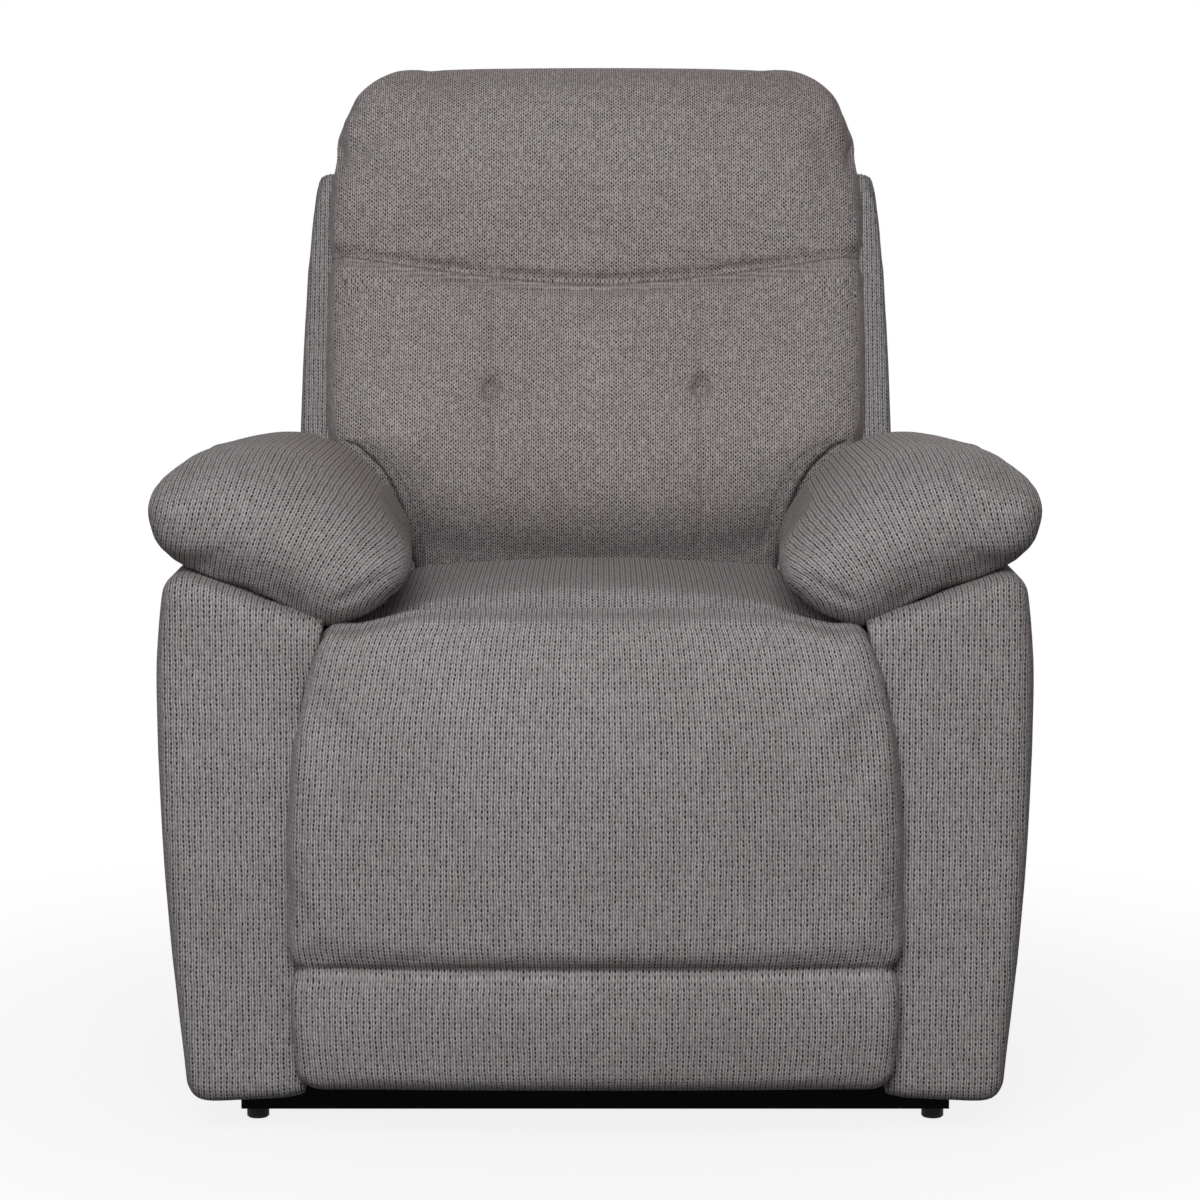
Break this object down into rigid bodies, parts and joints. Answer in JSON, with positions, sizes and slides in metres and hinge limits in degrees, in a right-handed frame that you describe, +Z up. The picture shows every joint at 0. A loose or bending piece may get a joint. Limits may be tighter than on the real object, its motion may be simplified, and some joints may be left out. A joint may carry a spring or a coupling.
{
  "type": "recliner armchair",
  "caption": "Padded recliner armchair with a knit cover, overstuffed arm pads, a tilting back that glides the seat forward, and a linkage footrest released by a side paddle.",
  "frame": {"origin": "middle of the floor area under the closed, upright chair", "axes": "+X to the viewer's right, the front faces -Y, +Z up"},
  "size_m": [0.8568, 0.8684, 1.04],
  "materials": {
    "cover_fabric": "chunky waffle-knit upholstery fabric in grey taupe",
    "black_steel": "black powder-coated steel",
    "zinc_steel": "zinc-plated pressed steel",
    "spring_wire": "drawn spring wire",
    "timber": "planed softwood",
    "plywood": "plywood",
    "webbing": "elastic webbing",
    "black_plastic": "moulded black plastic"
  },
  "bodies": {
    "base": {"base_front_bar": "black_steel", "base_rear_bar": "black_steel", "base_rail_left": "black_steel", "base_rail_right": "black_steel", "feet": "black_plastic", "mechanism_plate_left": "black_steel", "mechanism_plate_right": "black_steel"},
    "seat_unit": {"seat_rail_left": "zinc_steel", "seat_rail_right": "zinc_steel", "glide_pins": "zinc_steel", "seat_rail_rivets": "zinc_steel", "seat_front_rail": "timber", "seat_rear_rail": "timber", "seat_side_rail_left": "timber", "seat_side_rail_right": "timber", "seat_springs": "spring_wire", "seat_cushion": "cover_fabric", "arm_frame_left": "plywood", "arm_frame_right": "plywood", "arm_body_left": "cover_fabric", "arm_body_right": "cover_fabric", "arm_pad_left": "cover_fabric", "arm_pad_right": "cover_fabric", "arm_bolts": "zinc_steel", "release_bezel": "black_plastic", "release_cable": "black_plastic"},
    "back": {"back_bracket_left": "zinc_steel", "back_bracket_right": "zinc_steel", "back_post_left": "timber", "back_post_right": "timber", "back_top_rail": "timber", "back_bottom_rail": "timber", "back_webbing": "webbing", "back_cushion": "cover_fabric", "headrest_cushion": "cover_fabric", "back_wing_left": "cover_fabric", "back_wing_right": "cover_fabric", "back_panel": "cover_fabric"},
    "drive_links": {"drive_link_left": "zinc_steel", "drive_link_right": "zinc_steel"},
    "main_links": {"main_link_left": "zinc_steel", "main_link_right": "zinc_steel", "drive_tube": "zinc_steel", "latch_catch": "zinc_steel", "main_link_rivets": "zinc_steel"},
    "guide_links": {"guide_link_left": "zinc_steel", "guide_link_right": "zinc_steel", "guide_link_rivets": "zinc_steel"},
    "front_links": {"front_link_left": "zinc_steel", "front_link_right": "zinc_steel"},
    "upper_links": {"upper_link_left": "zinc_steel", "upper_link_right": "zinc_steel"},
    "footrest": {"footrest_bracket_left": "zinc_steel", "footrest_bracket_right": "zinc_steel", "footrest_rivets": "zinc_steel", "footrest_board": "plywood", "footrest_pad_upper": "cover_fabric", "footrest_pad_lower": "cover_fabric"},
    "handle": {"release_handle": "black_plastic"},
    "latch": {"latch_hook": "zinc_steel"}
  },
  "joints": [
    {"name": "seat_glide", "type": "slide", "parent": "base", "child": "seat_unit", "axis": [0, -0.9945, 0.1045], "range_m": [0, 0.07]},
    {"name": "recline", "type": "hinge", "parent": "seat_unit", "child": "back", "pos_m": [0, 0.186, 0.39], "axis": [-1, 0, 0], "range_deg": [0, 35]},
    {"name": "drive_link_turn", "type": "hinge", "parent": "base", "child": "drive_links", "pos_m": [0, 0.0787, 0.0959], "axis": [1, 0, 0], "range_deg": [0, 37.73]},
    {"name": "footrest_open", "type": "hinge", "parent": "seat_unit", "child": "main_links", "pos_m": [0, -0.214, 0.3], "axis": [-1, 0, 0], "range_deg": [0, 94]},
    {"name": "guide_link_turn", "type": "hinge", "parent": "seat_unit", "child": "guide_links", "pos_m": [0, -0.16, 0.284], "axis": [-1, 0, 0], "range_deg": [0, 94]},
    {"name": "front_link_turn", "type": "hinge", "parent": "main_links", "child": "front_links", "pos_m": [0, -0.1165, 0.13112], "axis": [-1, 0, 0], "range_deg": [-94, 0]},
    {"name": "upper_link_turn", "type": "hinge", "parent": "main_links", "child": "upper_links", "pos_m": [0, -0.1307, 0.18422], "axis": [-1, 0, 0], "range_deg": [-94, 0]},
    {"name": "footrest_turn", "type": "hinge", "parent": "front_links", "child": "footrest", "pos_m": [0, -0.292, 0.305], "axis": [-1, 0, 0], "range_deg": [0, 94]},
    {"name": "handle_pull", "type": "hinge", "parent": "seat_unit", "child": "handle", "pos_m": [-0.4145, -0.162, 0.397], "axis": [0, 1, 0], "range_deg": [0, 28], "stiffness_Nm_per_rad": 0.4},
    {"name": "latch_release", "type": "hinge", "parent": "seat_unit", "child": "latch", "pos_m": [-0.23, -0.192, 0.35], "axis": [1, 0, 0], "range_deg": [0, 12]}
  ],
  "couplings": [
    {"joint": "seat_glide", "follows": "recline", "m_per_rad": 0.11459},
    {"joint": "drive_link_turn", "follows": "recline", "ratio": 1.0779},
    {"joint": "guide_link_turn", "follows": "footrest_open", "ratio": 1},
    {"joint": "front_link_turn", "follows": "footrest_open", "ratio": -1},
    {"joint": "upper_link_turn", "follows": "footrest_open", "ratio": -1},
    {"joint": "footrest_turn", "follows": "footrest_open", "ratio": 1},
    {"joint": "latch_release", "follows": "handle_pull", "ratio": 0.42857}
  ]
}
